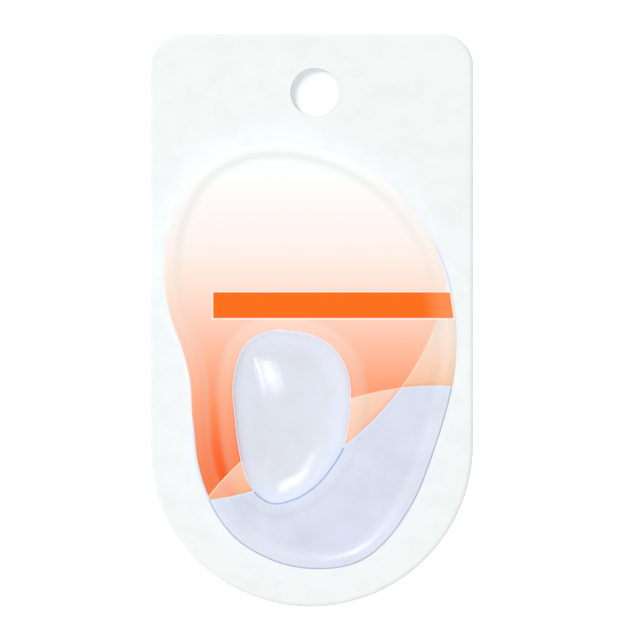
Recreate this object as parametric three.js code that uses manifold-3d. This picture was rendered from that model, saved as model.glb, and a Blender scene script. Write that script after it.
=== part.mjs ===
// A gel arch support pad shown on its hanging card. Millimetres, +Z up.
// The card lies flat on Z = 0 with its hang hole towards +Y. The gel pad lies on the card, a raised
// arch dome sits in a shallow well of the pad, and a thin coloured film lies over the pad's upper part.
// Origin: centre of the card's outline, on its underside.
import * as THREE from "three";
import { mergeVertices } from "three/addons/utils/BufferGeometryUtils.js";
import Module from "manifold-3d";

// Backing card
const CARD_WIDTH = 76;
const CARD_HEIGHT = 134;
const CARD_THICKNESS = 1.6;
const CARD_CORNER_RADIUS = 7.5;
const CARD_EDGE_ROUND = 0.7;
const HANG_HOLE_DIAMETER = 11.2;
const HANG_HOLE_FROM_TOP = 13.7; // hole centre below the card's upper edge
const HANG_HOLE_ASIDE = 0.9; // hole centre to the right of the card's centreline

// Gel pad, seen from above
const PAD_LENGTH = 100;
const PAD_WIDTH = 68.5;
const PAD_ASIDE = -0.4; // pad centre from the card's centreline
const PAD_BELOW_CENTRE = 8.4; // pad centre below the card's centre

// Gel pad, in section
const PAD_THICKNESS = 3.4; // the flat field between the rim and the dome
const PAD_EDGE_ROUND = 0.9;
const RIM_SHOULDER = 0.3; // rim height above the field, at the pad's edge
const RIM_RISE = 0.7; // at the rim's crest
const RIM_CREST_INSET = 2.2;
const RIM_GROOVE_INSET = 3.9;
const RIM_RUNOUT = 6.6; // where the groove has faded into the field
const GROOVE_DEPTH = 0.35;
const COLLAR_SHOULDER = 0.2; // the same for the collar round the dome
const COLLAR_RISE = 0.6;
const COLLAR_CREST_OUTSET = 1.8;
const COLLAR_GROOVE_OUTSET = 3.9;
const COLLAR_RUNOUT = 6.4;

// Arch dome
const DOME_LENGTH = 40.4;
const DOME_WIDTH = 27.5;
const DOME_ASIDE = -4; // dome centre from the pad's centre
const DOME_BELOW_CENTRE = 14.1;
const DOME_HEIGHT = 6.4; // crown above the pad's field
const DOME_SHOULDER = 0.9; // the dome's edge above the pad's field
const DOME_CROWN_FULLNESS = 2.3; // 2 is an ellipsoid's crown, more is a flatter one
const DOME_SIDE_FULLNESS = 1.7; // 2 is an ellipsoid's side, less is a leaner one
const WELL_DEPTH = 1.4; // below the pad's field

// Film over the upper part of the pad
const FILM_THICKNESS = 0.4;
const FILM_WRAP = 30; // degrees that it turns down over the pad's rounded edge

// Clearances
const SEAT_GAP = 0.3; // between pieces that lie on each other
const DOME_GAP = 0.35; // round the dome, in its well

// Outline of the pad round its centre. Reach is a share of the ellipse of the pad's length and width.
const PAD_OUTLINE = [
  { bearing: 0, reach: 1.0 },
  { bearing: 20, reach: 1.018 },
  { bearing: 45, reach: 0.986 },
  { bearing: 70, reach: 0.957 },
  { bearing: 90, reach: 0.98 },
  { bearing: 105, reach: 1.032 },
  { bearing: 120, reach: 1.1 },
  { bearing: 133, reach: 1.146 },
  { bearing: 146, reach: 1.132 },
  { bearing: 156, reach: 1.08 },
  { bearing: 167, reach: 0.98 },
  { bearing: 177, reach: 0.868 },
  { bearing: 188, reach: 0.817 },
  { bearing: 201, reach: 0.85 },
  { bearing: 215, reach: 0.925 },
  { bearing: 235, reach: 0.982 },
  { bearing: 255, reach: 0.984 },
  { bearing: 272, reach: 0.992 },
  { bearing: 293, reach: 1.018 },
  { bearing: 315, reach: 0.986 },
  { bearing: 335, reach: 0.958 },
];

// Outline of the dome round its centre, in the same way: an egg, wide above and narrow below.
const DOME_OUTLINE = [
  { bearing: 0, reach: 0.972 },
  { bearing: 25, reach: 1.073 },
  { bearing: 45, reach: 1.072 },
  { bearing: 68, reach: 1.004 },
  { bearing: 90, reach: 0.99 },
  { bearing: 112, reach: 1.063 },
  { bearing: 135, reach: 1.15 },
  { bearing: 158, reach: 1.076 },
  { bearing: 180, reach: 0.967 },
  { bearing: 203, reach: 0.977 },
  { bearing: 227, reach: 1.06 },
  { bearing: 248, reach: 1.06 },
  { bearing: 270, reach: 0.957 },
  { bearing: 293, reach: 0.894 },
  { bearing: 317, reach: 0.886 },
  { bearing: 338, reach: 0.94 },
];

// The film's two lower edges are arcs through three places, in half lengths and half widths of the pad.
const LOWER_SWEEP = [
  { across: -0.705, along: -0.669 },
  { across: 0.24, along: -0.415 },
  { across: 0.871, along: 0.173 },
];
const UPPER_SWEEP = [
  { across: -0.705, along: -0.669 },
  { across: 0.294, along: -0.194 },
  { across: 0.976, along: -0.138 },
];

// Fineness of the curves
const LOOP_POINTS = 80;
const SWEEP_STEPS = 96;
const CARD_END_STEPS = 44;
const CARD_CORNER_STEPS = 9;
const HOLE_STEPS = 32;
const EDGE_STEPS = 3;
const DOME_RINGS = [1, 0.985, 0.95, 0.88, 0.76, 0.6, 0.42, 0.22]; // shares of the way out from its middle
const HALF_ROOM = 0.45; // share of the way to the other loop that the pad's rings may take up
const SQUEEZE = 6; // the more, the longer rings keep their true distance before they draw together
const OVERCUT = 1; // how far a cutter reaches past what it cuts

// Heights that follow from the sizes above
const padBottom = CARD_THICKNESS + SEAT_GAP;
const fieldTop = padBottom + PAD_THICKNESS;
const wellFloor = fieldTop - WELL_DEPTH;
const padCentre = new THREE.Vector2(PAD_ASIDE, -PAD_BELOW_CENTRE);
const domeCentre = new THREE.Vector2(padCentre.x + DOME_ASIDE, padCentre.y - DOME_BELOW_CENTRE);

const wasm = await Module();
wasm.setup();

// Reach at any bearing: a smooth closed curve through the table's rows.
function reachAt(table, bearing) {
  const rows = table.length;
  const turn = ((bearing % 360) + 360) % 360;
  let i = rows - 1;
  while (table[i].bearing > turn) i -= 1;
  const row = (k) => ({
    bearing: table[(k + rows) % rows].bearing + 360 * Math.floor(k / rows),
    reach: table[(k + rows) % rows].reach,
  });
  const [before, from, to, after] = [row(i - 1), row(i), row(i + 1), row(i + 2)];
  const span = to.bearing - from.bearing;
  const t = (turn - from.bearing) / span;
  const slopeFrom = ((to.reach - before.reach) / (to.bearing - before.bearing)) * span;
  const slopeTo = ((after.reach - from.reach) / (after.bearing - from.bearing)) * span;
  const t2 = t * t;
  const t3 = t2 * t;
  return (
    (2 * t3 - 3 * t2 + 1) * from.reach +
    (t3 - 2 * t2 + t) * slopeFrom +
    (3 * t2 - 2 * t3) * to.reach +
    (t3 - t2) * slopeTo
  );
}

// A point of an outline: its bearing and reach are taken on the ellipse of the width and length.
function outlinePoint({ table, centre, width, length }, bearing) {
  const angle = THREE.MathUtils.degToRad(bearing);
  const reach = reachAt(table, bearing);
  return new THREE.Vector2(
    centre.x + (width / 2) * reach * Math.cos(angle),
    centre.y + (length / 2) * reach * Math.sin(angle),
  );
}

function bearingOf({ centre, width, length }, point) {
  return THREE.MathUtils.radToDeg(Math.atan2((point.y - centre.y) / length, (point.x - centre.x) / width));
}

// The loop's outward directions, one at each point.
function outwardOf(loop) {
  const count = loop.length;
  return loop.map((_, i) => {
    const along = loop[(i + 1) % count].clone().sub(loop[(i - 1 + count) % count]).normalize();
    return new THREE.Vector2(along.y, -along.x);
  });
}

// The loop moved outwards by a distance, or inwards where it is negative.
// Where the room given for each point is small, the distance is drawn in so that it stays under it.
function offsetLoop(loop, distance, rooms) {
  const outward = outwardOf(loop);
  return loop.map((p, i) => {
    const drawnIn = rooms ? (1 + (Math.abs(distance) / rooms[i]) ** SQUEEZE) ** (1 / SQUEEZE) : 1;
    return p.clone().addScaledVector(outward[i], distance / drawnIn);
  });
}

function distanceToLoop(point, loop) {
  const count = loop.length;
  let nearest = Infinity;
  for (let i = 0; i < count; i += 1) {
    const a = loop[i];
    const side = loop[(i + 1) % count].clone().sub(a);
    const offset = point.clone().sub(a);
    const share = THREE.MathUtils.clamp(offset.dot(side) / side.lengthSq(), 0, 1);
    nearest = Math.min(nearest, offset.addScaledVector(side, -share).length());
  }
  return nearest;
}

function ease(from, to, share) {
  return THREE.MathUtils.lerp(from, to, THREE.MathUtils.smoothstep(share, 0, 1));
}

// Height of a bead above the field at a distance from its foot: shoulder, crest, groove, then the field.
function beadHeight(distance, { shoulder, rise, crest, groove, runout }) {
  if (distance < crest) return ease(shoulder, rise, distance / crest);
  if (distance < groove) return ease(rise, -GROOVE_DEPTH, (distance - crest) / (groove - crest));
  if (distance < runout) return ease(-GROOVE_DEPTH, 0, (distance - groove) / (runout - groove));
  return 0;
}

const rim = {
  shoulder: RIM_SHOULDER,
  rise: RIM_RISE,
  crest: RIM_CREST_INSET,
  groove: RIM_GROOVE_INSET,
  runout: RIM_RUNOUT,
};
const collar = {
  shoulder: COLLAR_SHOULDER,
  rise: COLLAR_RISE,
  crest: COLLAR_CREST_OUTSET,
  groove: COLLAR_GROOVE_OUTSET,
  runout: COLLAR_RUNOUT,
};

const padOutline = { table: PAD_OUTLINE, centre: padCentre, width: PAD_WIDTH, length: PAD_LENGTH };
const domeOutline = { table: DOME_OUTLINE, centre: domeCentre, width: DOME_WIDTH, length: DOME_LENGTH };

// Loops run anticlockwise from above. Each point of the well lies on the way from the dome's centre
// to the pad's edge, so that rings of points fit between the two loops without crossing.
const bearings = Array.from({ length: LOOP_POINTS }, (_, i) => (360 * i) / LOOP_POINTS);
const padLoop = bearings.map((bearing) => outlinePoint(padOutline, bearing));
const wellLoop = padLoop.map((p) => outlinePoint(domeOutline, bearingOf(domeOutline, p)));
const domeLoop = offsetLoop(wellLoop, -DOME_GAP);

// Nearly half the way across to the other loop, from each point of a loop.
const roomInside = padLoop.map((p) => HALF_ROOM * distanceToLoop(p, wellLoop));
const roomAround = wellLoop.map((p) => HALF_ROOM * distanceToLoop(p, padLoop));

function padTopAt(point) {
  const rimHeight = beadHeight(distanceToLoop(point, padLoop), rim);
  const collarHeight = beadHeight(distanceToLoop(point, wellLoop), collar);
  return fieldTop + rimHeight + collarHeight;
}

function atHeight(loop, z) {
  return loop.map((p) => new THREE.Vector3(p.x, p.y, z));
}

// Rings over the pad's top, from its edge rounding in to the well, each lifted off the pad's surface.
function padTopRings(lift, wellOutset) {
  const stopsOf = ({ crest, groove, runout }) => [crest, (crest + groove) / 2, groove, runout];
  const rimStops = stopsOf(rim);
  const collarStops = stopsOf(collar).reverse();
  const fromEdge = rimStops.map((inset) => offsetLoop(padLoop, -inset, roomInside));
  const fromWell = collarStops.map((outset) => offsetLoop(wellLoop, outset, roomAround));
  const between = fromEdge[fromEdge.length - 1].map((p, i) => p.clone().lerp(fromWell[0][i], 0.5));
  const loops = [
    offsetLoop(padLoop, -PAD_EDGE_ROUND),
    ...fromEdge,
    between,
    ...fromWell,
    offsetLoop(wellLoop, wellOutset),
  ];
  return loops.map((loop) => loop.map((p) => new THREE.Vector3(p.x, p.y, padTopAt(p) + lift)));
}

// Rings down over the pad's rounded edge, lifted off it, from the lowest one up. Angles in degrees.
function edgeRings(lift, wrap) {
  const shoulder = offsetLoop(padLoop, -PAD_EDGE_ROUND);
  const radius = PAD_EDGE_ROUND + lift;
  return Array.from({ length: EDGE_STEPS }, (_, step) => {
    const angle = THREE.MathUtils.degToRad(wrap * (1 - step / EDGE_STEPS));
    const outwards = radius * Math.sin(angle) - PAD_EDGE_ROUND;
    const drop = PAD_EDGE_ROUND - radius * Math.cos(angle);
    return offsetLoop(padLoop, outwards).map(
      (p, i) => new THREE.Vector3(p.x, p.y, padTopAt(shoulder[i]) - drop),
    );
  });
}

// A closed surface through loops of equal length, stacked outside-in from underneath to the top.
// Capped loops end in a fan at each end; a ring of loops meets itself.
function skin(loops, capped) {
  const count = loops[0].length;
  const positions = loops.flat().flatMap((p) => [p.x, p.y, p.z]);
  const index = [];
  const bands = capped ? loops.length - 1 : loops.length;
  for (let band = 0; band < bands; band += 1) {
    const lower = band * count;
    const upper = ((band + 1) % loops.length) * count;
    for (let i = 0; i < count; i += 1) {
      const next = (i + 1) % count;
      index.push(lower + i, lower + next, upper + next, lower + i, upper + next, upper + i);
    }
  }
  if (capped) {
    for (const [loop, start, turned] of [
      [loops[0], 0, true],
      [loops[loops.length - 1], (loops.length - 1) * count, false],
    ]) {
      const middle = loop.reduce((sum, p) => sum.add(p), new THREE.Vector3()).divideScalar(count);
      const hub = positions.length / 3;
      positions.push(middle.x, middle.y, middle.z);
      for (let i = 0; i < count; i += 1) {
        const next = (i + 1) % count;
        index.push(hub, start + (turned ? next : i), start + (turned ? i : next));
      }
    }
  }
  const geometry = new THREE.BufferGeometry();
  geometry.setAttribute("position", new THREE.Float32BufferAttribute(positions, 3));
  geometry.setIndex(index);
  return geometry;
}

function solidOf(geometry) {
  const bare = geometry.clone();
  for (const name of ["normal", "uv"]) {
    if (bare.getAttribute(name)) bare.deleteAttribute(name);
  }
  const merged = mergeVertices(bare, 1e-4);
  return new wasm.Manifold(
    new wasm.Mesh({
      numProp: 3,
      vertProperties: merged.getAttribute("position").array,
      triVerts: new Uint32Array(merged.index.array),
    }),
  );
}

function geometryOf(solid) {
  const { numProp, vertProperties, triVerts } = solid.getMesh();
  const geometry = new THREE.BufferGeometry();
  const positions = [];
  for (let i = 0; i < vertProperties.length; i += numProp) {
    positions.push(vertProperties[i], vertProperties[i + 1], vertProperties[i + 2]);
  }
  geometry.setAttribute("position", new THREE.Float32BufferAttribute(positions, 3));
  geometry.setIndex(new THREE.BufferAttribute(triVerts, 1));
  geometry.computeVertexNormals();
  return geometry;
}

// A round cutter that reaches past the heights it cuts between.
function uprightPost(centre, radius, low, high, steps) {
  const post = new THREE.CylinderGeometry(radius, radius, high - low + 2 * OVERCUT, steps);
  post.rotateX(Math.PI / 2);
  post.translate(centre.x, centre.y, (low + high) / 2);
  return solidOf(post);
}

// Card with rounded upper corners, a half-round lower end, softened edges and a punched hang hole.
function backingCard() {
  const half = CARD_WIDTH / 2;
  const top = CARD_HEIGHT / 2;
  const cornerX = half - CARD_CORNER_RADIUS;
  const cornerY = top - CARD_CORNER_RADIUS;
  const arc = (x, y, radius, from, to, steps) =>
    new THREE.EllipseCurve(x, y, radius, radius, from * Math.PI, to * Math.PI).getPoints(steps);
  const outline = new THREE.Shape([
    ...arc(0, half - top, half, 1, 2, CARD_END_STEPS),
    ...arc(cornerX, cornerY, CARD_CORNER_RADIUS, 0, 0.5, CARD_CORNER_STEPS),
    ...arc(-cornerX, cornerY, CARD_CORNER_RADIUS, 0.5, 1, CARD_CORNER_STEPS),
  ]);
  const plate = new THREE.ExtrudeGeometry(outline, {
    depth: CARD_THICKNESS - 2 * CARD_EDGE_ROUND,
    bevelSize: CARD_EDGE_ROUND,
    bevelOffset: -CARD_EDGE_ROUND,
    bevelThickness: CARD_EDGE_ROUND,
    bevelSegments: EDGE_STEPS,
  });
  plate.translate(0, 0, CARD_EDGE_ROUND);
  const holeCentre = new THREE.Vector2(HANG_HOLE_ASIDE, top - HANG_HOLE_FROM_TOP);
  const punch = uprightPost(holeCentre, HANG_HOLE_DIAMETER / 2, 0, CARD_THICKNESS, HOLE_STEPS);
  return geometryOf(solidOf(plate).subtract(punch));
}

// Pad with a rounded edge, a raised rim, a flat field, a collar and the well that holds the dome.
function gelPad() {
  const rings = [...edgeRings(0, 90), ...padTopRings(0, 0)];
  return skin([atHeight(padLoop, padBottom), ...rings, atHeight(wellLoop, wellFloor)], true);
}

// The dome: an egg-shaped cushion with a short upright edge and a full crown.
function archDome() {
  const edgeTop = fieldTop + DOME_SHOULDER;
  const crown = DOME_HEIGHT - DOME_SHOULDER;
  const rings = DOME_RINGS.map((share) => {
    const z = edgeTop + crown * (1 - share ** DOME_CROWN_FULLNESS) ** (1 / DOME_SIDE_FULLNESS);
    return domeLoop.map((p) => {
      const q = domeCentre.clone().lerp(p, share);
      return new THREE.Vector3(q.x, q.y, z);
    });
  });
  return skin([atHeight(domeLoop, wellFloor + SEAT_GAP), ...rings], true);
}

// Centre and radius of the circle through three places on the pad.
function circleThrough(places) {
  const [a, b, c] = places.map(
    ({ across, along }) =>
      new THREE.Vector2(padCentre.x + (across * PAD_WIDTH) / 2, padCentre.y + (along * PAD_LENGTH) / 2),
  );
  const d = 2 * (a.x * (b.y - c.y) + b.x * (c.y - a.y) + c.x * (a.y - b.y));
  const [a2, b2, c2] = [a.lengthSq(), b.lengthSq(), c.lengthSq()];
  const centre = new THREE.Vector2(
    (a2 * (b.y - c.y) + b2 * (c.y - a.y) + c2 * (a.y - b.y)) / d,
    (a2 * (c.x - b.x) + b2 * (a.x - c.x) + c2 * (b.x - a.x)) / d,
  );
  return { centre, radius: centre.distanceTo(a) };
}

// Film that follows the pad's relief, with a hole for the dome and a lower edge of two sweeps:
// it is cut away inside the upper sweep's circle, except where the lower sweep's circle keeps it.
function colouredFilm() {
  const [under, over] = [SEAT_GAP, SEAT_GAP + FILM_THICKNESS].map((lift) => [
    ...edgeRings(lift, FILM_WRAP),
    ...padTopRings(lift, SEAT_GAP),
  ]);
  const draped = solidOf(skin([...over, ...under.reverse()], false));
  const [upper, lower] = [UPPER_SWEEP, LOWER_SWEEP].map(circleThrough);
  const filmTop = fieldTop + RIM_RISE + SEAT_GAP + FILM_THICKNESS;
  const cutAway = uprightPost(upper.centre, upper.radius, padBottom, filmTop, SWEEP_STEPS);
  const kept = uprightPost(lower.centre, lower.radius, padBottom - OVERCUT, filmTop + OVERCUT, SWEEP_STEPS);
  return geometryOf(draped.subtract(cutAway.subtract(kept)));
}

function piece(name, geometry, material) {
  const mesh = new THREE.Mesh(geometry, new THREE.MeshStandardMaterial(material));
  mesh.name = name;
  return mesh;
}

const pack = new THREE.Group();
pack.add(
  piece("backing_card", backingCard(), { color: "#f1f5f4", roughness: 0.6 }),
  piece("gel_pad", gelPad(), { color: "#dbe0ee", roughness: 0.2 }),
  piece("arch_dome", archDome(), { color: "#dfe3f0", roughness: 0.12 }),
  piece("coloured_film", colouredFilm(), { color: "#fba77a", roughness: 0.35 }),
);

export default pack;
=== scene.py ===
# A gel arch support pad on its hanging card, seen from straight above.
# The card, the pad, its dome and its film are modelled here, over their plain solids.
import math

import bpy
import numpy as np
from mathutils import Matrix, Vector


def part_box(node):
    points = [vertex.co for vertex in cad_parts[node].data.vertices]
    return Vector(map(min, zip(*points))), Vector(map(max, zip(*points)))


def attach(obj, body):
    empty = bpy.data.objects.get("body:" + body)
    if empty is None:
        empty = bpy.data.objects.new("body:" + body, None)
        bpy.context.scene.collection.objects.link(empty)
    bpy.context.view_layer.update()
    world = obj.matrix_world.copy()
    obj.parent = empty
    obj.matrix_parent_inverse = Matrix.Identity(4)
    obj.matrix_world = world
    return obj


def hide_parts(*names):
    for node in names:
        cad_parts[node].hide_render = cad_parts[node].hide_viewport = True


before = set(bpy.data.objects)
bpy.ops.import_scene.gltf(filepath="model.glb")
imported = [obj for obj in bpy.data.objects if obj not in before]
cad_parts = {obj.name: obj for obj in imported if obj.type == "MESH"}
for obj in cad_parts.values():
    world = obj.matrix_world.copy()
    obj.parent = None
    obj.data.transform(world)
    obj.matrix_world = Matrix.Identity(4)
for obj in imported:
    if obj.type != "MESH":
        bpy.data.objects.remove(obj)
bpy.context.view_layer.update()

MM = 0.001

# Sizes of the pad's and the dome's outlines, in millimetres
PAD_LENGTH = 100
PAD_WIDTH = 68.5
PAD_CENTRE = np.array([-0.4, -8.4])
DOME_LENGTH = 40.1
DOME_WIDTH = 27.2
DOME_CENTRE = PAD_CENTRE + np.array([-4.0, -14.1])

# Sizes of the card, in millimetres
CARD_WIDTH = 76
CARD_HEIGHT = 134
CARD_CORNER_RADIUS = 7.5
CARD_EDGE = 0.15  # height of the card's upright edge, under the pressed round
CARD_ROUND = 1.4  # how far in the pressed round reaches
HOLE_CENTRE = np.array([0.9, 53.3])
HOLE_RADIUS = 5.6
LIP_WIDTH = 0.7  # of the low lip that the punch leaves round the hole
LIP_HEIGHT = 0.05
LIP_LEAN = 0.6  # 1 puts the lip's crest in its middle, and less puts it nearer the hole
PRESSED_FORM = 2 / 3  # 1 presses the edge to a quarter of an ellipse, and less leaves it squarer

# Sections of the pad and the dome, in millimetres
PAD_THICKNESS = 3.4
EDGE_ROUND = 0.9
UNDERSIDE_ROUND = 0.5
WELL_ROUND = 0.3

# The rim along the pad's edge and the collar round the dome: shoulder and rise are heights over the
# field between them, and crest, groove and runout are distances from the pad's edge or the well, all
# in millimetres
GROOVE_DEPTH = 0.06
RIM = {"Shoulder": 0.2, "Rise": 0.4, "Crest": 1.75, "Groove": 3.75, "Runout": 6.0}
COLLAR = {"Shoulder": 0.05, "Rise": 0.12, "Crest": 1.8, "Groove": 3.9, "Runout": 6.0}

# The dome's upright edge over the field, in millimetres, and its form: 2 is an ellipsoid's
DOME_SHOULDER = 0.9
DOME_CROWN_FULLNESS = 2.3
DOME_SIDE_FULLNESS = 1.7

# How the pieces lie on each other, in millimetres
RESTING_GAP = 0.03
FILM_UNDERSIDE = 0.06
FILM_TOP = 0.4
FILM_WRAP = 45  # degrees that the film turns down over the pad's rounded edge
CLEAR_MARGIN = 0.25  # of the film, past its print

# Outlines: reach by bearing in degrees, as a share of the ellipse of the outline's length and width
PAD_OUTLINE = {
    0: 1.0, 20: 1.018, 45: 0.986, 70: 0.957, 90: 0.98, 105: 1.032, 120: 1.1,
    133: 1.146, 146: 1.132, 156: 1.08, 167: 0.98, 177: 0.868, 188: 0.817, 201: 0.85,
    215: 0.925, 235: 0.982, 255: 0.984, 272: 0.992, 293: 1.018, 315: 0.986, 335: 0.958,
}
DOME_OUTLINE = {
    0: 0.972, 25: 1.073, 45: 1.072, 68: 1.004, 90: 0.99, 112: 1.063, 135: 1.15, 158: 1.076,
    180: 0.967, 203: 0.977, 227: 1.06, 248: 1.06, 270: 0.957, 293: 0.894, 317: 0.886, 338: 0.94,
}

# The film's two sweeps: arcs through three places, in half widths and half lengths of the pad
LOWER_SWEEP = [(-0.705, -0.669), (0.24, -0.415), (0.871, 0.173)]
UPPER_SWEEP = [(-0.705, -0.669), (0.294, -0.194), (0.976, -0.138)]

# The plain bar printed on the film, in millimetres
BAR_LEFT = -22.7
BAR_RIGHT = 32.8
BAR_LOW = 0.5
BAR_HIGH = 6.5
BAR_LEAN = 0.14  # how far its right end leans out for each millimetre down
BAR_BORDER = 0.35

# Finer parts of the print, in millimetres
PRINT_BLEED = 0.06  # on each side of an area's edge
WELL_MARGIN = 0.15  # bare film round the dome
UPPER_LINE = {"Middle": 0.15, "Half Width": 0.12}  # light line past the upper sweep's edge
LOWER_LINE = {"Middle": 0.12, "Half Width": 0.1}
EDGE_SHADE_WIDTH = 0.3  # painted shade line at the film's bare right edge
STREAK_WIDTH = 1.3
STREAK_LENGTH = 5.2
STREAK_DRAW = 0.9  # radians that turn the noise before it is stretched, which picks its pattern
STREAKS = {0.45: 0.0, 0.65: 0.07}  # share of the painted shade grey by the noise's value, in streaks of painted shade where the film folds

# The print by height on the film in millimetres: both sweeps' inks together, then each sweep's alone
BOTH_INKS = {
    -42: "#f35010", -35: "#f36020", -30: "#f46c33", -25.6: "#f67b46", -21: "#f68a5b", -16: "#f79b71",
    -12: "#f8a886", -5.5: "#f8bca1", -1: "#f8c8b4", 9: "#f8e0d2", 16: "#f8eae3", 21: "#f7eeeb",
    27: "#f6f2ef", 34: "#f6f8f7",
}
UPPER_INK = {-16: "#f4ba94", -13: "#f4c4a6", -9: "#f5d0b9", -5: "#f5dac8", 1: "#f0ded2"}
LOWER_INK = {-43: "#f69d78", -39: "#f7a888", -36.5: "#f7b39b", -25: "#f7bca3", -16: "#f6cdb8"}
BAR_INK = "#f66c18"
BORDER_INK = "#fbeae2"
UPPER_LINE_INK = "#f3d6c4"
LOWER_LINE_INK = "#f3dccb"
CLEAR_FILM = "#d9e6f8"
BARE_FILM = "#eeeff4"
# Tone of the painted shade line along the film's bare right edge
EDGE_SHADE_TONE = "#dcdaf6"

# How much painted sheen lightens the print on the rim and on the collar, and how much painted shade
# darkens it in the grooves, by distance in millimetres from the pad's edge and from the well
RIM_PAINTED_SHEEN = {0: 0.3, 0.5: 0.14, 2.8: 0.14, 3.6: 0.11, 4.2: 0.04, 4.7: 0.0}
RIM_PAINTED_SHADE = {0.3: 0.0, 0.7: 0.05, 1.4: 0.05, 2.0: 0.0, 2.9: 0.04, 3.7: 0.11, 4.4: 0.05, 5.2: 0.0}
COLLAR_PAINTED_SHEEN = {0: 0.02, 0.3: 0.05, 0.7: 0.16, 2.6: 0.16, 3.3: 0.12, 3.9: 0.04, 4.4: 0.0}
COLLAR_PAINTED_SHADE = {1.6: 0.0, 2.8: 0.06, 3.5: 0.12, 4.0: 0.05, 4.6: 0.0}
# Tones of the painted sheen, by height on the film in millimetres
PAINTED_SHEEN_TONES = {
    -42: "#f6dc98", -37: "#f6e1a4", -30: "#f6f2d0", -18: "#f6f7e6", 0: "#f6f6f2", 20: "#f3f5f3",
}
# Grey of the painted shade in the film's grooves and in its fold streaks
PAINTED_SHADE_GREY = "#9cbcb0"
# Painted sheen over the bar where the rim crosses it, by distance from the pad's edge, and its tone
BAR_PAINTED_SHEEN = {0: 0.16, 3.0: 0.15, 5.0: 0.08, 7.2: 0.0}
BAR_SHEEN_TONE = "#f4f0b0"

# How the single inks deepen towards the print's lower edge, by distance in millimetres from it
LOWER_EDGE_DEEP = {-1.0: 0.0, -0.4: 0.25, 0.1: 0.3}
DEEPENED = "#e89060"

# Widths of the bare film outside the print, by height in millimetres: on the left, and on the right
BARE_LEFT = {-44: 0.2, -42: 0.4, -34: 0.5, -27: 0.4, -21: 0.0}
BARE_RIGHT = {6.4: 0.0, 6.5: 1.5, 8.7: 1.0, 14.8: 0.4, 19.5: 0.0}

# The board's and the gels' clouds: tones by the noise's value
BOARD_TONES = {0.38: "#ebefee", 0.5: "#edf1f0", 0.7: "#eef2f1"}
PAD_TONES = {0.36: "#d3d9e6", 0.5: "#d8dde9", 0.64: "#dcdfee"}
DOME_TONES = {0.36: "#dbdee5", 0.5: "#dde1e9", 0.64: "#dfe2ee"}

# How the gels' tone changes by their edges, most of it painted light and shade. Each row has the
# distance that it follows, a tone, and how much of the tone lies over the clouds, by that distance in
# millimetres.
PAD_EDGE_TONES_LIGHT_AND_SHADE = [
    # Painted light on the rim, a painted shade line along the edge, and the side wall
    ("from_edge", "#f6f9ff", {0.25: 0.55, 0.5: 0.4, 0.9: 0.26, 2: 0.12, 3: 0.14, 4: 0.12, 5: 0.0}),
    ("from_edge", "#b4b7de", {0.03: 0.0, 0.1: 1.0, 0.25: 1.0, 0.42: 0.0}),
    ("from_edge", "#cfd2dc", {0.0: 1.0, 0.03: 1.0, 0.1: 0.0}),
    # The collar, a painted contact shadow where the dome meets it, and a painted highlight arc on it
    ("from_well", "#dcdad2", {0.3: 0.22, 1.4: 0.14, 2.1: 0.0}),
    ("from_well", "#a8aac2", {0.0: 1.0, 0.3: 1.0, 0.5: 0.0}),
    ("from_well", "#f6f9ff", {2.1: 0.0, 2.2: 0.22, 2.3: 0.22, 2.4: 0.0}),
]
DOME_EDGE_PAINTED_LIGHT = [
    # Painted light towards the dome's thin foot, and a painted light line at the foot
    ("from_well", "#e9efff", {0.0: 0.8, 1.5: 0.7, 3.5: 0.3, 5.5: 0.0}),
    ("from_well", "#dae9ff", {0.0: 1.0, 0.2: 1.0, 0.5: 0.4, 1.4: 0.0}),
]
DOME_GLOW = {0.0: 0.15, 0.2: 0.12, 0.45: 0.02, 1.0: 0.0}  # strength by distance from the foot
GLOW_TONE = "#c4dfff"

# The gels' gloss, from 0 for a mirror to 1 for chalk
PAD_ROUGHNESS = 0.13
DOME_ROUGHNESS = 0.125

# Sizes of clouds, and grains of each finish as pairs of size and height, in millimetres. The real
# grains are too fine to show at this distance, so they are drawn coarser.
BOARD_CLOUD = 4.5
GEL_CLOUD = 9
BOARD_GRAINS = [(2.2, 0.02), (0.5, 0.006)]
PAD_GRAINS = [(1.0, 0.03), (0.6, 0.04)]
DOME_GRAINS = [(1.8, 0.03), (0.8, 0.045)]
FILM_GRAINS = [(6.0, 0.03), (0.4, 0.002)]

# Fineness of the meshes
LOOP_POINTS = 360
RING_STEP = 0.3
EDGE_STEPS = 8
FIELD_RINGS = 14
DOME_RINGS = 56
SWEEP_STEPS = 512
CARD_POINTS = 720
HALF_ROOM = 0.45  # share of the way to the other loop that the pad's rings may take up
SQUEEZE = 6  # the more, the longer rings keep their true distance before they draw together

# Angles past which an edge stays sharp, in degrees
CARD_SHARP = 50
GEL_SHARP = 60
FILM_SHARP = 50

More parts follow.
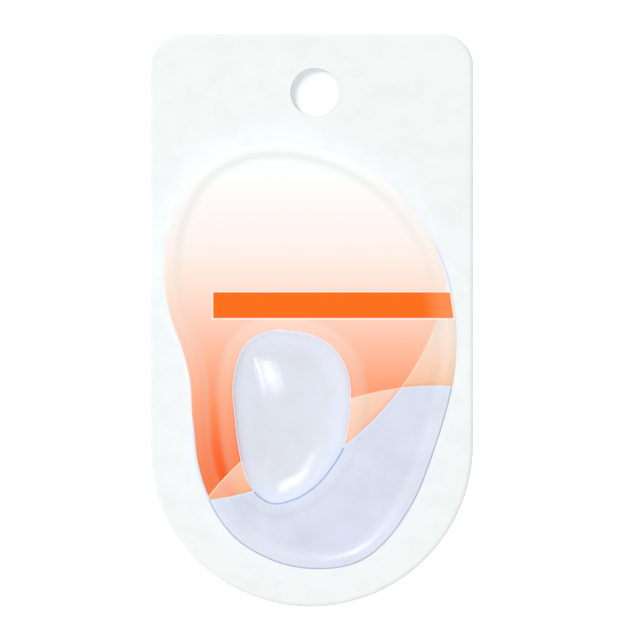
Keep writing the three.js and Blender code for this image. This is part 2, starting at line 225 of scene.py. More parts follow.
# Lights that fall on the pieces, and strips that are only mirrored in their gloss: name, both ends,
# width, radiance, and the group of pieces that each falls on. Places and widths are in metres.
SOFTBOXES = [
    ("overhead", (0.04, -0.42, 1.3), (0.04, 0.18, 1.3), 0.6, 6.95, "everything"),
    ("card_key", (-1.89, 0.59, 1.48), (-1.21, 1.58, 1.48), 1.2, 5.1, "around_hole"),
    ("pad_key", (-1.27, 1.53, 1.48), (-0.15, 1.98, 1.48), 1.2, 5.1, "flat_pieces"),
    ("hole_key", (-1.72, 0.63, 1.48), (-1.1, 1.6, 1.48), 1.1, 6.8, "paper_alone"),
    ("dome_front_fill", (0.0, -0.85, 0.50), (0.4, -0.75, 0.50), 0.4, 4.0, "dome_alone"),
    ("dome_back_fill", (-0.1, 0.8, 0.50), (0.35, 0.75, 0.50), 0.4, 3.8, "dome_alone"),
]
STRIPS = [
    ("narrow_strip", (-0.295, 0.215, 0.39), (-0.232, 0.045, 0.55), 0.06, 11.5, "dome_alone"),
    ("broad_strip", (-0.176, 0.25, 0.475), (-0.1, 0.075, 0.595), 0.115, 10.0, "dome_alone"),
    ("arc_low", (-0.02, -0.475, 0.42), (0.15, -0.485, 0.38), 0.2, 5.6, "dome_alone"),
    ("arc_middle", (0.15, -0.485, 0.38), (0.25, -0.38, 0.44), 0.18, 6.5, "dome_alone"),
    ("arc_side", (0.25, -0.38, 0.44), (0.285, -0.265, 0.49), 0.09, 5.5, "dome_alone"),
    ("left_strip", (-0.334, -0.342, 0.39), (-0.21, -0.17, 0.55), 0.06, 2.5, "dome_alone"),
    ("rim_strip", (-0.038, 0.275, 0.50), (-0.237, 0.16, 0.50), 0.05, 12.0, "pad_alone"),
]
SURROUND_TONE = "#fafafa"
SURROUND_STRENGTH = 0.42

# The floor's two sheets: a light table, and white paper under the card's hole. Sides, places and
# depths under the card are in metres.
TABLE_SIDE = 6.0
TABLE_DEPTH = 0.0002
TABLE_TONE = "#fbfbfb"
TABLE_GLOW = 0.35
PAPER_SIDE = 0.04
PAPER_PLACE = 0.04  # towards the hole
PAPER_DEPTH = 0.00002
PAPER_TONE = "#e0e8e7"
FLOOR_ROUGHNESS = 0.9

# The camera: lens and sensor in millimetres, and the width and middle of what it sees, in metres
LENS = 250
SENSOR_WIDTH = 36
VIEW_WIDTH = 0.14813
VIEW_CENTRE = (0.00146, 0.00076)


# Outlines and distances

def reach_at(table, bearings):
    """Reach at each bearing, on a smooth closed curve through the table's rows."""
    knots = np.array(list(table), dtype=float)
    values = np.array(list(table.values()))
    knots = np.concatenate([knots[-2:] - 360, knots, knots[:2] + 360])
    values = np.concatenate([values[-2:], values, values[:2]])
    slopes = np.zeros_like(values)
    slopes[1:-1] = (values[2:] - values[:-2]) / (knots[2:] - knots[:-2])
    turns = bearings % 360
    i = np.searchsorted(knots, turns, side="right") - 1
    span = knots[i + 1] - knots[i]
    t = (turns - knots[i]) / span
    return (
        (2 * t**3 - 3 * t**2 + 1) * values[i]
        + (t**3 - 2 * t**2 + t) * slopes[i] * span
        + (3 * t**2 - 2 * t**3) * values[i + 1]
        + (t**3 - t**2) * slopes[i + 1] * span
    )


def outline_points(table, centre, width, length, bearings):
    """Points of an outline, in millimetres, at the bearings."""
    angles = np.radians(bearings)
    reach = reach_at(table, bearings)
    across = centre[0] + width / 2 * reach * np.cos(angles)
    along = centre[1] + length / 2 * reach * np.sin(angles)
    return np.stack([across, along], axis=1)


def outward_of(loop):
    """Unit vectors outwards from each point of a loop."""
    along = np.roll(loop, -1, axis=0) - np.roll(loop, 1, axis=0)
    along /= np.linalg.norm(along, axis=1, keepdims=True)
    return np.stack([along[:, 1], -along[:, 0]], axis=1)


def offset_loop(loop, distance, rooms=None):
    """The loop moved outwards, or inwards where negative, drawn in where its room is small."""
    drawn_in = 1.0 if rooms is None else (1 + (abs(distance) / rooms) ** SQUEEZE) ** (1 / SQUEEZE)
    shift = np.broadcast_to(distance / drawn_in, len(loop))
    return loop + outward_of(loop) * shift[:, None]


def distance_to_loop(points, loop, batch=4000):
    """Distance from each point to the nearest place on a loop's sides."""
    sides = np.roll(loop, -1, axis=0) - loop
    lengths = (sides**2).sum(axis=1)
    nearest = []
    for start in range(0, len(points), batch):
        offsets = points[start : start + batch, None, :] - loop[None]
        shares = np.clip((offsets * sides).sum(axis=2) / lengths, 0, 1)
        gaps = offsets - shares[..., None] * sides
        nearest.append(np.sqrt((gaps**2).sum(axis=2).min(axis=1)))
    return np.concatenate(nearest)


def circle_through(places):
    """Centre and radius, in millimetres, of the circle through three places on the pad."""
    a, b, c = [PAD_CENTRE + np.array(place) * (PAD_WIDTH / 2, PAD_LENGTH / 2) for place in places]
    rows = 2 * np.array([b - a, c - a])
    centre = np.linalg.solve(rows, [b @ b - a @ a, c @ c - a @ a])
    return centre, np.linalg.norm(centre - a)


pad_loop = outline_points(
    PAD_OUTLINE, PAD_CENTRE, PAD_WIDTH, PAD_LENGTH, np.arange(LOOP_POINTS) * 360 / LOOP_POINTS
)
towards_edge = (pad_loop - DOME_CENTRE) / (DOME_WIDTH, DOME_LENGTH)
well_loop = outline_points(
    DOME_OUTLINE,
    DOME_CENTRE,
    DOME_WIDTH,
    DOME_LENGTH,
    np.degrees(np.arctan2(towards_edge[:, 1], towards_edge[:, 0])),
)
room_inside = HALF_ROOM * distance_to_loop(pad_loop, well_loop)
room_around = HALF_ROOM * distance_to_loop(well_loop, pad_loop)
lower_circle = circle_through(LOWER_SWEEP)
upper_circle = circle_through(UPPER_SWEEP)

# Heights, in millimetres, from the CAD pieces that the soft ones rest on or replace
card_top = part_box("backing_card")[1][2] / MM
pad_underside = card_top + RESTING_GAP
field_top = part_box("gel_pad")[0][2] / MM + PAD_THICKNESS
dome_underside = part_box("arch_dome")[0][2] / MM
dome_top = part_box("arch_dome")[1][2] / MM
well_floor = dome_underside - RESTING_GAP


# Meshes

def skin(name, rings, lifted, capped=True):
    """A closed mesh through rings of points in millimetres, from underneath to the top.

    Each ring's lifted value says how much of the relief moves it: 0 or 1.
    """
    count = len(rings[0])
    points = np.concatenate(rings)
    shares = np.repeat(np.array(lifted, dtype=float), count)
    around = np.arange(count)
    onward = (around + 1) % count
    faces = []
    for band in range(len(rings) - 1 if capped else len(rings)):
        low = band * count
        high = (band + 1) % len(rings) * count
        faces += np.stack([low + around, low + onward, high + onward, high + around], axis=1).tolist()
    if capped:
        for ring, turned in ((0, True), (len(rings) - 1, False)):
            hub = len(points)
            points = np.concatenate([points, rings[ring].mean(axis=0, keepdims=True)])
            shares = np.append(shares, lifted[ring])
            first, second = (onward, around) if turned else (around, onward)
            start = ring * count
            faces += np.stack([np.full(count, hub), start + first, start + second], axis=1).tolist()
    mesh = bpy.data.meshes.new(name)
    mesh.from_pydata((points * MM).tolist(), [], faces)
    mesh.attributes.new("lift_share", "FLOAT", "POINT").data.foreach_set("value", shares)
    piece = bpy.data.objects.new(name, mesh)
    bpy.context.scene.collection.objects.link(piece)
    return piece


def measure_distances(piece):
    """Keep each vertex's distance to the pad's edge and to the well, in millimetres, on the mesh."""
    mesh = piece.data
    places = np.empty(len(mesh.vertices) * 3)
    mesh.vertices.foreach_get("co", places)
    flat = places.reshape(-1, 3)[:, :2] / MM
    for name, loop in (("from_edge", pad_loop), ("from_well", well_loop)):
        attribute = mesh.attributes.get(name) or mesh.attributes.new(name, "FLOAT", "POINT")
        attribute.data.foreach_set("value", distance_to_loop(flat, loop))


def at_height(loop, height):
    """A flat loop's points, all at one height."""
    return np.column_stack([loop, np.broadcast_to(height, len(loop))])


def rounding(loop, height, radius, start, end, lift=0.0):
    """Rings round an edge of a radius, from one angle off upright to another. The last is left out.

    The loop is where the edge's side stands, and the height is where its top lies.
    """
    rings = []
    for angle in np.radians(np.linspace(start, end, EDGE_STEPS, endpoint=False)):
        outwards = (radius + lift) * math.sin(angle) - radius
        drop = radius - (radius + lift) * math.cos(angle)
        rings.append(at_height(offset_loop(loop, outwards), height - drop))
    return rings


def top_rings(lift, well_outset):
    """Rings over the pad's top, from its edge rounding in to the well, at the field's height."""
    rim_stops = np.arange(EDGE_ROUND + RING_STEP, RIM["Runout"], RING_STEP)
    collar_stops = np.arange(COLLAR["Runout"], well_outset + RING_STEP / 2, -RING_STEP)
    from_edge = [offset_loop(pad_loop, -stop, room_inside) for stop in rim_stops]
    from_well = [offset_loop(well_loop, stop, room_around) for stop in collar_stops]
    across = [
        from_edge[-1] + (from_well[0] - from_edge[-1]) * step / (FIELD_RINGS + 1)
        for step in range(1, FIELD_RINGS + 1)
    ]
    loops = [offset_loop(pad_loop, -EDGE_ROUND), *from_edge, *across, *from_well]
    loops.append(offset_loop(well_loop, well_outset))
    return [at_height(loop, field_top + lift) for loop in loops]


def settle(piece):
    """Turn a piece's modifiers into plain mesh."""
    graph = bpy.context.evaluated_depsgraph_get()
    evaluated = piece.evaluated_get(graph)
    mesh = bpy.data.meshes.new_from_object(evaluated, preserve_all_data_layers=True, depsgraph=graph)
    piece.modifiers.clear()
    piece.data = mesh


def smooth(piece, sharp_angle):
    """Smooth shading, with sharp edges past an angle in degrees."""
    piece.data.polygons.foreach_set("use_smooth", [True] * len(piece.data.polygons))
    piece.data.set_sharp_from_angle(angle=math.radians(sharp_angle))


# Node trees

def linear(code):
    """An sRGB hex colour as linear light."""
    shares = [int(code[i : i + 2], 16) / 255 for i in (1, 3, 5)]
    return (*[s / 12.92 if s <= 0.04045 else ((s + 0.055) / 1.055) ** 2.4 for s in shares], 1.0)


def add(tree, kind, sockets=None, stops=None, **settings):
    """Add a node with its settings, its sockets' values or links, and its colour ramp's stops."""
    node = tree.nodes.new(kind)
    for name, value in settings.items():
        setattr(node, name, value)
    for key, value in (sockets or {}).items():
        if isinstance(value, bpy.types.NodeSocket):
            tree.links.new(value, node.inputs[key])
        else:
            node.inputs[key].default_value = value
    for i, (position, value) in enumerate((stops or {}).items()):
        elements = node.color_ramp.elements
        element = elements[i] if i < 2 else elements.new(position)
        element.position = position
        element.color = linear(value) if isinstance(value, str) else (value, value, value, 1.0)
    return node


def new_geometry_tree(name, inputs, output, kind):
    """A geometry tree with named inputs and one output. Returns it and its inputs' sockets."""
    tree = bpy.data.node_groups.new(name, "GeometryNodeTree")
    for label, socket_type in inputs.items():
        tree.interface.new_socket(label, in_out="INPUT", socket_type=socket_type)
    tree.interface.new_socket(output, in_out="OUTPUT", socket_type=kind)
    return tree, add(tree, "NodeGroupInput").outputs


def bead_tree():
    """A bead's height over the field by the distance from its foot: shoulder, crest and groove."""
    names = ["Distance", *RIM, "Groove Depth"]
    tree, given = new_geometry_tree(
        "bead_height", dict.fromkeys(names, "NodeSocketFloat"), "Height", "NodeSocketFloat"
    )
    climb = add(tree, "ShaderNodeMath", {0: given["Rise"], 1: given["Shoulder"]}, operation="SUBTRACT")
    depth = add(tree, "ShaderNodeMath", {0: given["Rise"], 1: given["Groove Depth"]}, operation="ADD")
    fall = add(tree, "ShaderNodeMath", {0: depth.outputs[0], 1: -1.0}, operation="MULTIPLY")
    height = given["Shoulder"]
    for start, end, change in (
        (0.0, given["Crest"], climb.outputs[0]),
        (given["Crest"], given["Groove"], fall.outputs[0]),
        (given["Groove"], given["Runout"], given["Groove Depth"]),
    ):
        sockets = {"Value": given["Distance"], "From Min": start, "From Max": end, "To Max": change}
        stretch = add(tree, "ShaderNodeMapRange", sockets, interpolation_type="SMOOTHSTEP")
        sockets = {0: height, 1: stretch.outputs[0]}
        height = add(tree, "ShaderNodeMath", sockets, operation="ADD").outputs[0]
    add(tree, "NodeGroupOutput", {"Height": height})
    return tree


def relief_tree():
    """The pad's relief: a rim along its edge and a collar round its well. The film gets the same."""
    inputs = {"Geometry": "NodeSocketGeometry", "Material": "NodeSocketMaterial"}
    inputs |= {f"{bead} {size}": "NodeSocketFloat" for bead in ("Rim", "Collar") for size in RIM}
    inputs |= {"Edge Round": "NodeSocketFloat", "Groove Depth": "NodeSocketFloat"}
    tree, given = new_geometry_tree("pad_relief", inputs, "Geometry", "NodeSocketGeometry")
    bead_height = bead_tree()
    heights = []
    beads = [("Rim", "from_edge", given["Edge Round"]), ("Collar", "from_well", 0.0)]
    for bead, distance, least in beads:
        found = add(tree, "GeometryNodeInputNamedAttribute", {"Name": distance}, data_type="FLOAT")
        kept = add(tree, "ShaderNodeMath", {0: found.outputs[0], 1: least}, operation="MAXIMUM")
        sockets = {size: given[f"{bead} {size}"] for size in RIM}
        sockets |= {"Distance": kept.outputs[0], "Groove Depth": given["Groove Depth"]}
        heights.append(add(tree, "GeometryNodeGroup", sockets, node_tree=bead_height).outputs[0])
    height = add(tree, "ShaderNodeMath", {0: heights[0], 1: heights[1]}, operation="ADD")
    share = add(tree, "GeometryNodeInputNamedAttribute", {"Name": "lift_share"}, data_type="FLOAT")
    lift = add(tree, "ShaderNodeMath", {0: height.outputs[0], 1: share.outputs[0]}, operation="MULTIPLY")
    metres = add(tree, "ShaderNodeMath", {0: lift.outputs[0], 1: MM}, operation="MULTIPLY")
    offset = add(tree, "ShaderNodeCombineXYZ", {"Z": metres.outputs[0]})
    sockets = {"Geometry": given["Geometry"], "Offset": offset.outputs[0]}
    moved = add(tree, "GeometryNodeSetPosition", sockets)
    realized = add(tree, "GeometryNodeRealizeInstances", {"Geometry": moved.outputs[0]})
    sockets = {"Geometry": realized.outputs[0], "Material": given["Material"]}
    dressed = add(tree, "GeometryNodeSetMaterial", sockets)
    add(tree, "NodeGroupOutput", {"Geometry": dressed.outputs[0]})
    return tree


def shape_by(piece, tree, values):
    """Run a node tree over a piece, and keep the result as plain mesh."""
    modifier = piece.modifiers.new(tree.name, "NODES")
    modifier.node_group = tree
    for item in tree.interface.items_tree:
        if item.in_out == "INPUT" and item.name in values:
            modifier[item.identifier] = values[item.name]
    settle(piece)


def new_material(name, finish):
    """A material with one shader, its fixed values, and millimetre coordinates of the object."""
    material = bpy.data.materials.new(name)
    material.use_nodes = True
    tree = material.node_tree
    tree.nodes.clear()
    shader = add(tree, "ShaderNodeBsdfPrincipled", finish)
    add(tree, "ShaderNodeOutputMaterial", {"Surface": shader.outputs[0]})
    place = add(tree, "ShaderNodeTexCoord").outputs["Object"]
    place = add(tree, "ShaderNodeVectorMath", {0: place, "Scale": 1 / MM}, operation="SCALE").outputs[0]
    return material, tree, shader, place


def roughen(tree, shader, place, grains):
    """Bump from grains of several sizes. Each has its size and its height in millimetres."""
    normal = None
    for size, height in grains:
        grain = add(tree, "ShaderNodeTexNoise", {"Vector": place, "Scale": 1 / size, "Detail": 2.0})
        sockets = {"Height": grain.outputs["Fac"], "Distance": height * MM}
        if normal:
            sockets["Normal"] = normal
        normal = add(tree, "ShaderNodeBump", sockets).outputs[0]
    tree.links.new(normal, shader.inputs["Normal"])


# Materials

def coated_board():
    """Solid bleached board with a matt coating, die cut and pressed.

    The eye sees an even cool white, with faint clouds from the pulp and a soft eggshell surface.
    """
    finish = {"Roughness": 0.7, "IOR": 1.46, "Specular IOR Level": 0.1}
    material, tree, shader, place = new_material("coated_bleached_board", finish)
    sockets = {"Vector": place, "Scale": 1 / BOARD_CLOUD, "Detail": 3.0}
    clouds = add(tree, "ShaderNodeTexNoise", sockets).outputs["Fac"]
    tone = add(tree, "ShaderNodeValToRGB", {"Fac": clouds}, stops=BOARD_TONES).outputs["Color"]
    tree.links.new(tone, shader.inputs["Base Color"])
    roughen(tree, shader, place, BOARD_GRAINS)
    return material


def ramp(tree, distance, table):
    """Colours or shares by a distance, from a table in millimetres."""
    low, high = min(table), max(table)
    share = add(tree, "ShaderNodeMapRange", {"Value": distance, "From Min": low, "From Max": high})
    stops = {(at - low) / (high - low): value for at, value in table.items()}
    return add(tree, "ShaderNodeValToRGB", {"Fac": share.outputs[0]}, stops=stops).outputs["Color"]


def moulded_gel(name, roughness, tones, edges, grains, glow=None):
    """Polymer gel moulded in a polished tool: milky, cool and glossy, with faint clouds and grain.

    It is painted lighter on the rim and towards the dome's foot, with painted lines of light and shade
    at its edges. Light that travels inside the gel comes out at the dome's foot, which the glow stands
    for.
    """
    finish = {
        "Emission Color": linear(GLOW_TONE),
        "Roughness": roughness,
        "IOR": 1.41,
        "Subsurface Weight": 0.5,
        "Subsurface Scale": 1.5 * MM,
        "Subsurface Radius": (1.0, 1.0, 1.2),
    }
    material, tree, shader, place = new_material(name, finish)
    sockets = {"Vector": place, "Scale": 1 / GEL_CLOUD, "Detail": 4.0}
    clouds = add(tree, "ShaderNodeTexNoise", sockets).outputs["Fac"]
    colour = add(tree, "ShaderNodeValToRGB", {"Fac": clouds}, stops=tones).outputs["Color"]
    # Tones by the edges, mostly painted light and shade
    for distance, edge_tone, shares in edges:
        reach = add(tree, "ShaderNodeAttribute", attribute_name=distance).outputs["Fac"]
        sockets = {0: ramp(tree, reach, shares), 6: colour, 7: linear(edge_tone)}
        colour = add(tree, "ShaderNodeMix", sockets, data_type="RGBA").outputs[2]
    tree.links.new(colour, shader.inputs["Base Color"])
    if glow:
        from_well = add(tree, "ShaderNodeAttribute", attribute_name="from_well").outputs["Fac"]
        tree.links.new(ramp(tree, from_well, glow), shader.inputs["Emission Strength"])
    roughen(tree, shader, place, grains)
    return material


def print_distances(tree, flat):
    """Where the film's printed and bare areas lie. A value above nought is inside its area.

    Each row of the workings has the name of its result, an operation, and its terms, which are
    numbers or the names of earlier results.
    """
    split = add(tree, "ShaderNodeSeparateXYZ", {0: flat})
    found = {"across": split.outputs["X"], "along": split.outputs["Y"]}
    for name in ("from_edge", "from_well"):
        found[name] = add(tree, "ShaderNodeAttribute", attribute_name=name).outputs["Fac"]
    for name, (centre, _) in (("from_lower", lower_circle), ("from_upper", upper_circle)):
        sockets = {0: flat, 1: (*centre, 0)}
        reach = add(tree, "ShaderNodeVectorMath", sockets, operation="DISTANCE")
        found[name] = reach.outputs["Value"]
    for name, table in (("right_width", BARE_RIGHT), ("left_width", BARE_LEFT)):
        found[name] = ramp(tree, found["along"], table)
    workings = [
        ("past_lower", "SUBTRACT", "from_lower", lower_circle[1]),
        ("past_upper", "SUBTRACT", upper_circle[1], "from_upper"),
        ("past_both", "MINIMUM", "past_lower", "past_upper"),
        ("past_either", "MAXIMUM", "past_lower", "past_upper"),
        ("in_one_sweep", "GREATER_THAN", "past_either", 0.0),
        ("off_upper_line", "SUBTRACT", "past_upper", UPPER_LINE["Middle"]),
        ("off_lower_line", "SUBTRACT", "past_lower", LOWER_LINE["Middle"]),
        ("aside_upper_line", "ABSOLUTE", "off_upper_line"),
        ("aside_lower_line", "ABSOLUTE", "off_lower_line"),
        ("in_upper_line", "SUBTRACT", UPPER_LINE["Half Width"], "aside_upper_line"),
        ("in_lower_line", "SUBTRACT", LOWER_LINE["Half Width"], "aside_lower_line"),
        ("under_bar_top", "SUBTRACT", BAR_HIGH, "along"),
        ("over_bar_top", "SUBTRACT", "along", BAR_HIGH),
        ("over_bar_foot", "SUBTRACT", "along", BAR_LOW),
        ("after_bar_start", "SUBTRACT", "across", BAR_LEFT),
        ("lean", "MULTIPLY", "under_bar_top", BAR_LEAN),
        ("to_bar_end", "SUBTRACT", BAR_RIGHT - BAR_LEAN * (BAR_HIGH - BAR_LOW) / 2, "across"),
        ("before_bar_end", "ADD", "to_bar_end", "lean"),
        ("in_bar_length", "MINIMUM", "after_bar_start", "before_bar_end"),
        ("in_bar_width", "MINIMUM", "over_bar_foot", "under_bar_top"),
        ("in_bar", "MINIMUM", "in_bar_length", "in_bar_width"),
        ("in_border", "ADD", "in_bar", BAR_BORDER),
        ("above_bar", "MINIMUM", "past_lower", "over_bar_top"),
        ("on_right", "GREATER_THAN", "across", 0.0),
        ("on_left", "SUBTRACT", 1.0, "on_right"),
        ("bare_right", "MULTIPLY", "right_width", "on_right"),
        ("bare_left", "MULTIPLY", "left_width", "on_left"),
        ("in_bare_right", "SUBTRACT", "bare_right", "from_edge"),
        ("in_bare_left", "SUBTRACT", "bare_left", "from_edge"),
        # The painted shade line along the bare right edge
        ("near_edge", "SUBTRACT", EDGE_SHADE_WIDTH, "from_edge"),
        ("in_edge_shade", "MINIMUM", "in_bare_right", "near_edge"),
        ("near_well", "SUBTRACT", WELL_MARGIN, "from_well"),
        ("off_print", "MAXIMUM", "past_both", "near_well"),
        ("in_clear_film", "MAXIMUM", "in_bare_left", "off_print"),
    ]
    for name, operation, *terms in workings:
        sockets = {i: found.get(term, term) for i, term in enumerate(terms)}
        found[name] = add(tree, "ShaderNodeMath", sockets, operation=operation).outputs[0]
    return found


def printed_film():
    """Clear polypropylene film, printed on its back in two sweeps of orange and formed over the pad.

    The inks deepen downwards and where the sweeps lie over each other. Painted sheen lightens the film
    over the rim and the collar, painted shade darkens it in their grooves, and it has a slight gloss.
    """
    finish = {"Roughness": 0.5, "IOR": 1.49, "Specular IOR Level": 0.1}
    material, tree, shader, place = new_material("printed_polypropylene_film", finish)
    sockets = {0: place, 1: (1, 1, 0)}
    flat = add(tree, "ShaderNodeVectorMath", sockets, operation="MULTIPLY").outputs[0]
    found = print_distances(tree, flat)
    along, from_edge, from_well = (found[name] for name in ("along", "from_edge", "from_well"))

    # Streaks of painted shade where the film folds, stretched along one way
    stretch = (1, STREAK_WIDTH / STREAK_LENGTH, 1)
    sockets = {"Vector": flat, "Rotation": (0, 0, STREAK_DRAW), "Scale": stretch}
    upright = add(tree, "ShaderNodeMapping", sockets).outputs[0]
    sockets = {"Vector": upright, "Scale": 1 / STREAK_WIDTH, "Detail": 2.0}
    streaks = add(tree, "ShaderNodeTexNoise", sockets).outputs["Fac"]
    streaks = add(tree, "ShaderNodeValToRGB", {"Fac": streaks}, stops=STREAKS).outputs["Color"]
    tints = [streaks, ramp(tree, found["past_both"], LOWER_EDGE_DEEP)]
    fold_shade, deepened = [
        add(tree, "ShaderNodeMath", {0: found["in_one_sweep"], 1: tint}, operation="MULTIPLY").outputs[0]
        for tint in tints
    ]
    # Painted sheen: its tone by height, and the bar's ink lightened by it where the rim crosses the bar
    sheen_tone = ramp(tree, along, PAINTED_SHEEN_TONES)
    sockets = {0: ramp(tree, from_edge, BAR_PAINTED_SHEEN), 6: linear(BAR_INK), 7: linear(BAR_SHEEN_TONE)}
    bar_ink_with_sheen = add(tree, "ShaderNodeMix", sockets, data_type="RGBA").outputs[2]

    # Layers from the lowest up: an area by its name, or a share, and the ink that covers it
    layers = [
        ("past_lower", ramp(tree, along, UPPER_INK)),
        ("past_upper", ramp(tree, along, LOWER_INK)),
        # Painted shade in streaks where the film folds
        (fold_shade, PAINTED_SHADE_GREY),
        (deepened, DEEPENED),
        ("in_upper_line", UPPER_LINE_INK),
        ("in_lower_line", LOWER_LINE_INK),
        # Painted shade in the grooves of the rim and the collar
        (ramp(tree, from_edge, RIM_PAINTED_SHADE), PAINTED_SHADE_GREY),
        (ramp(tree, from_well, COLLAR_PAINTED_SHADE), PAINTED_SHADE_GREY),
        # Painted sheen on the collar and on the rim
        (ramp(tree, from_well, COLLAR_PAINTED_SHEEN), sheen_tone),
        (ramp(tree, from_edge, RIM_PAINTED_SHEEN), sheen_tone),
        ("in_border", BORDER_INK),
        ("in_bar", bar_ink_with_sheen),
        ("above_bar", CLEAR_FILM),
        ("in_clear_film", CLEAR_FILM),
        ("in_bare_right", BARE_FILM),
        # Painted shade line along the bare right edge
        ("in_edge_shade", EDGE_SHADE_TONE),
    ]
    colour = ramp(tree, along, BOTH_INKS)
    for cover, ink in layers:
        if isinstance(cover, str):
            sockets = {"Value": found[cover], "From Min": -PRINT_BLEED, "From Max": PRINT_BLEED}
            cover = add(tree, "ShaderNodeMapRange", sockets).outputs[0]
        sockets = {0: cover, 6: colour, 7: linear(ink) if isinstance(ink, str) else ink}
        colour = add(tree, "ShaderNodeMix", sockets, data_type="RGBA").outputs[2]
    tree.links.new(colour, shader.inputs["Base Color"])
    roughen(tree, shader, place, FILM_GRAINS)
    return material


# Pieces

pad_relief = relief_tree()
relief_sizes = {f"Rim {size}": value for size, value in RIM.items()}
relief_sizes |= {f"Collar {size}": value for size, value in COLLAR.items()}
relief_sizes |= {"Edge Round": EDGE_ROUND, "Groove Depth": GROOVE_DEPTH}


def card_outline():
    """The card's outline in millimetres, in even steps: a round lower end and two rounded corners."""
    half = CARD_WIDTH / 2
    corner = CARD_CORNER_RADIUS
    arcs = [
        (0, half - CARD_HEIGHT / 2, half, 180, 360),
        (half - corner, CARD_HEIGHT / 2 - corner, corner, 0, 90),
        (corner - half, CARD_HEIGHT / 2 - corner, corner, 90, 180),
    ]
    corners = []
    for x, y, radius, start, end in arcs:
        turns = np.radians(np.linspace(start, end, CARD_POINTS))
        corners.append(np.stack([x + radius * np.cos(turns), y + radius * np.sin(turns)], axis=1))
    path = np.concatenate([*corners, corners[0][:1]])
    along = np.concatenate([[0], np.cumsum(np.linalg.norm(np.diff(path, axis=0), axis=1))])
    steps = np.arange(CARD_POINTS) * along[-1] / CARD_POINTS
    return np.stack([np.interp(steps, along, path[:, axis]) for axis in (0, 1)], axis=1)


def hanging_card(material):
    """Card with an edge pressed round, and a punched hole with a low lip."""
    outline = card_outline()
    outwards = outline - HOLE_CENTRE
    outwards /= np.linalg.norm(outwards, axis=1, keepdims=True)

    def round_hole(radius, height):
        return at_height(HOLE_CENTRE + outwards * radius, height)

    rings = [at_height(outline, 0.0)]
    for turn in np.radians(np.linspace(0, 90, 2 * EDGE_STEPS)):
        inset = CARD_ROUND * (1 - math.cos(turn) ** PRESSED_FORM)
        rise = (card_top - CARD_EDGE) * math.sin(turn) ** PRESSED_FORM
        rings.append(at_height(offset_loop(outline, -inset), CARD_EDGE + rise))
    for share in np.linspace(1, 0, EDGE_STEPS):
        lip = LIP_HEIGHT * math.sin(math.pi * share**LIP_LEAN) ** 2
        rings.append(round_hole(HOLE_RADIUS + LIP_WIDTH * share, card_top + lip))
    rings.append(round_hole(HOLE_RADIUS, 0.0))
    piece = skin("pressed_card", rings, [0] * len(rings), capped=False)
    piece.data.materials.append(material)
    smooth(piece, CARD_SHARP)
    return piece


def gel_pad(material):
    """Pad with a rounded edge, a raised rim, a flat field, a collar and the well that holds the dome."""
    underside = [
        at_height(offset_loop(pad_loop, -UNDERSIDE_ROUND * (1 - math.sin(angle))), height)
        for angle in np.radians(np.linspace(0, 90, EDGE_STEPS))
        for height in [pad_underside + UNDERSIDE_ROUND * (1 - math.cos(angle))]
    ]
    edge = rounding(pad_loop, field_top, EDGE_ROUND, 90, 0)
    top = top_rings(0.0, WELL_ROUND)
    well = [
        at_height(offset_loop(well_loop, WELL_ROUND * (1 - math.sin(angle))), height)
        for angle in np.radians(np.linspace(0, 90, EDGE_STEPS)[1:])
        for height in [field_top - WELL_ROUND * (1 - math.cos(angle))]
    ]
    floor = [at_height(well_loop, well_floor)]
    rings = [*underside, *edge, *top, *well, *floor]
    lifted = [0] * len(underside) + [1] * (len(rings) - len(underside) - 1) + [0]
    piece = skin("moulded_gel_pad", rings, lifted)
    measure_distances(piece)
    shape_by(piece, pad_relief, {**relief_sizes, "Material": material})
    smooth(piece, GEL_SHARP)
    return piece


def gel_dome(material):
    """Egg-shaped dome with a short upright edge, rounded into a full crown."""
    edge_top = field_top + DOME_SHOULDER
    crown = dome_top - edge_top
    rings = [at_height(offset_loop(well_loop, -UNDERSIDE_ROUND), dome_underside)]
    rings.append(at_height(well_loop, dome_underside + UNDERSIDE_ROUND))
    for turn in np.radians(np.linspace(0, 90, DOME_RINGS, endpoint=False)):
        share = math.cos(turn) ** (2 / DOME_CROWN_FULLNESS)
        height = edge_top + crown * math.sin(turn) ** (2 / DOME_SIDE_FULLNESS)
        rings.append(at_height(DOME_CENTRE + (well_loop - DOME_CENTRE) * share, height))
    piece = skin("moulded_gel_dome", rings, [0] * len(rings))
    measure_distances(piece)
    piece.data.materials.append(material)
    smooth(piece, GEL_SHARP)
    return piece


def cut(piece, tool, operation):
    """Cut a piece with a tool, which is then removed."""
    modifier = piece.modifiers.new("cut", "BOOLEAN")
    modifier.object = tool
    modifier.operation = operation
    settle(piece)
    bpy.data.objects.remove(tool)


def upright_post(name, circle, margin):
    """A round cutter that reaches past the film on both sides."""
    centre, radius = circle
    turns = np.arange(SWEEP_STEPS) * 2 * math.pi / SWEEP_STEPS
    loop = centre + (radius + margin) * np.stack([np.cos(turns), np.sin(turns)], axis=1)
    return skin(name, [at_height(loop, 0.0), at_height(loop, dome_top)], [0, 0])


def coloured_film(material):
    """Film over the pad's relief, with a hole for the dome and a lower edge of two sweeps."""
    over, under = [
        [
            *rounding(pad_loop, field_top, EDGE_ROUND, FILM_WRAP, 0, lift),
            *top_rings(lift, 0.0),
        ]
        for lift in (FILM_TOP, FILM_UNDERSIDE)
    ]
    rings = [*over, *under[::-1]]
    piece = skin("printed_film", rings, [1] * len(rings), capped=False)
    measure_distances(piece)
    shape_by(piece, pad_relief, {**relief_sizes, "Material": material})
    waste = upright_post("upper_sweep", upper_circle, -CLEAR_MARGIN)
    cut(waste, upright_post("lower_sweep", lower_circle, CLEAR_MARGIN), "DIFFERENCE")
    cut(piece, waste, "DIFFERENCE")
    measure_distances(piece)
    smooth(piece, FILM_SHARP)
    return piece


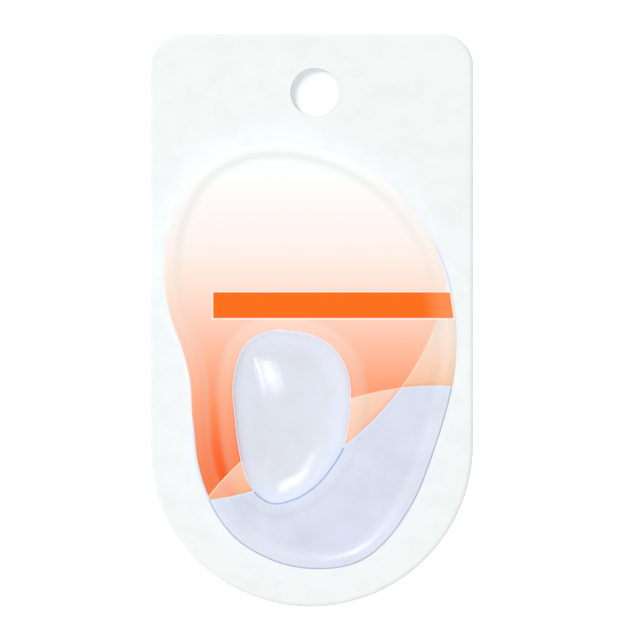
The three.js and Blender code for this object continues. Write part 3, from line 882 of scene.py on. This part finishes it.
def dress(piece, node):
    """Let a piece ride on the body in place of its CAD node."""
    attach(piece, "root")
    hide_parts(node)


card = hanging_card(coated_board())
pad = gel_pad(moulded_gel("moulded_pad_gel", PAD_ROUGHNESS, PAD_TONES, PAD_EDGE_TONES_LIGHT_AND_SHADE, PAD_GRAINS))
dome = gel_dome(
    moulded_gel("moulded_dome_gel", DOME_ROUGHNESS, DOME_TONES, DOME_EDGE_PAINTED_LIGHT, DOME_GRAINS, DOME_GLOW)
)
film = coloured_film(printed_film())
dress(card, "backing_card")
dress(pad, "gel_pad")
dress(dome, "arch_dome")
dress(film, "coloured_film")


# Floor, light and camera

def sheet(name, centre, side, finish):
    """A square sheet of the stage, under the card. Its centre and side are in metres."""
    mesh = bpy.data.meshes.new(name)
    x, y, z = centre
    half = side / 2
    corners = [(x + right * half, y + up * half, z) for right, up in ((-1, -1), (1, -1), (1, 1), (-1, 1))]
    mesh.from_pydata(corners, [], [(0, 1, 2, 3)])
    plane = bpy.data.objects.new(name, mesh)
    bpy.context.scene.collection.objects.link(plane)
    material, *_ = new_material(name, finish)
    mesh.materials.append(material)
    return plane


def softbox(name, start, end, width, radiance, lit, shading=None, mirrored=False):
    """A rectangular light between two places, in metres, that faces the dome.

    It falls on one group of pieces. The shading group, or else everything, throws its shadows. It
    either lights the pieces, or is only mirrored in their gloss.
    """
    start, end = Vector(start), Vector(end)
    length = (end - start).length
    light = bpy.data.lights.new(name, "AREA")
    light.shape = "RECTANGLE"
    light.size, light.size_y = width, length
    light.energy = radiance * math.pi * width * length
    backwards = (start + end) / 2 - Vector((*DOME_CENTRE * MM, dome_top * MM))
    across = (end - start).cross(backwards).normalized()
    facing = across.cross(end - start).normalized()
    lamp = bpy.data.objects.new(name, light)
    lamp.matrix_world = Matrix((across, (end - start).normalized(), facing)).transposed().to_4x4()
    lamp.location = (start + end) / 2
    lamp.visible_diffuse = not mirrored
    lamp.visible_glossy = mirrored
    lamp.light_linking.receiver_collection = lit
    lamp.light_linking.blocker_collection = shading
    bpy.context.scene.collection.objects.link(lamp)


def group(name, pieces):
    """A collection that lights can be kept to."""
    together = bpy.data.collections.new(name)
    for piece in pieces:
        together.objects.link(piece)
    return together


def studio(light_table, white_paper):
    """An even white surround, soft lights, and strips that the dome and the rim mirror."""
    world = bpy.data.worlds.new("studio")
    world.use_nodes = True
    background = world.node_tree.nodes["Background"]
    background.inputs["Color"].default_value = linear(SURROUND_TONE)
    background.inputs["Strength"].default_value = SURROUND_STRENGTH
    bpy.context.scene.world = world
    members = {
        "card_alone": [card],
        "pad_alone": [pad],
        "dome_alone": [dome],
        "flat_pieces": [pad, film],
        "paper_alone": [white_paper],
        "around_hole": [card, light_table, white_paper],
        "everything": [card, pad, film, dome, light_table, white_paper],
    }
    groups = {name: group(name, pieces) for name, pieces in members.items()}
    for name, start, end, width, radiance, lit in SOFTBOXES:
        softbox(name, start, end, width, radiance, groups[lit], shading=groups["card_alone"])
    for name, start, end, width, radiance, lit in STRIPS:
        softbox(name, start, end, width, radiance, groups[lit], mirrored=True)


def camera():
    """Straight above the card, as far off as the width of its view asks."""
    lens = bpy.data.cameras.new("camera")
    lens.lens = LENS
    lens.sensor_width = SENSOR_WIDTH
    eye = bpy.data.objects.new("camera", lens)
    eye.location = (*VIEW_CENTRE, card_top * MM + VIEW_WIDTH / SENSOR_WIDTH * LENS)
    bpy.context.scene.collection.objects.link(eye)
    bpy.context.scene.camera = eye


table_finish = {
    "Base Color": linear(TABLE_TONE),
    "Roughness": FLOOR_ROUGHNESS,
    "Emission Strength": TABLE_GLOW,
}
paper_finish = {"Base Color": linear(PAPER_TONE), "Roughness": FLOOR_ROUGHNESS}
studio(
    sheet("light_table", (0.0, 0.0, -TABLE_DEPTH), TABLE_SIDE, table_finish),
    sheet("white_paper", (0.0, PAPER_PLACE, -PAPER_DEPTH), PAPER_SIDE, paper_finish),
)
camera()
bpy.context.scene.view_settings.view_transform = "Standard"
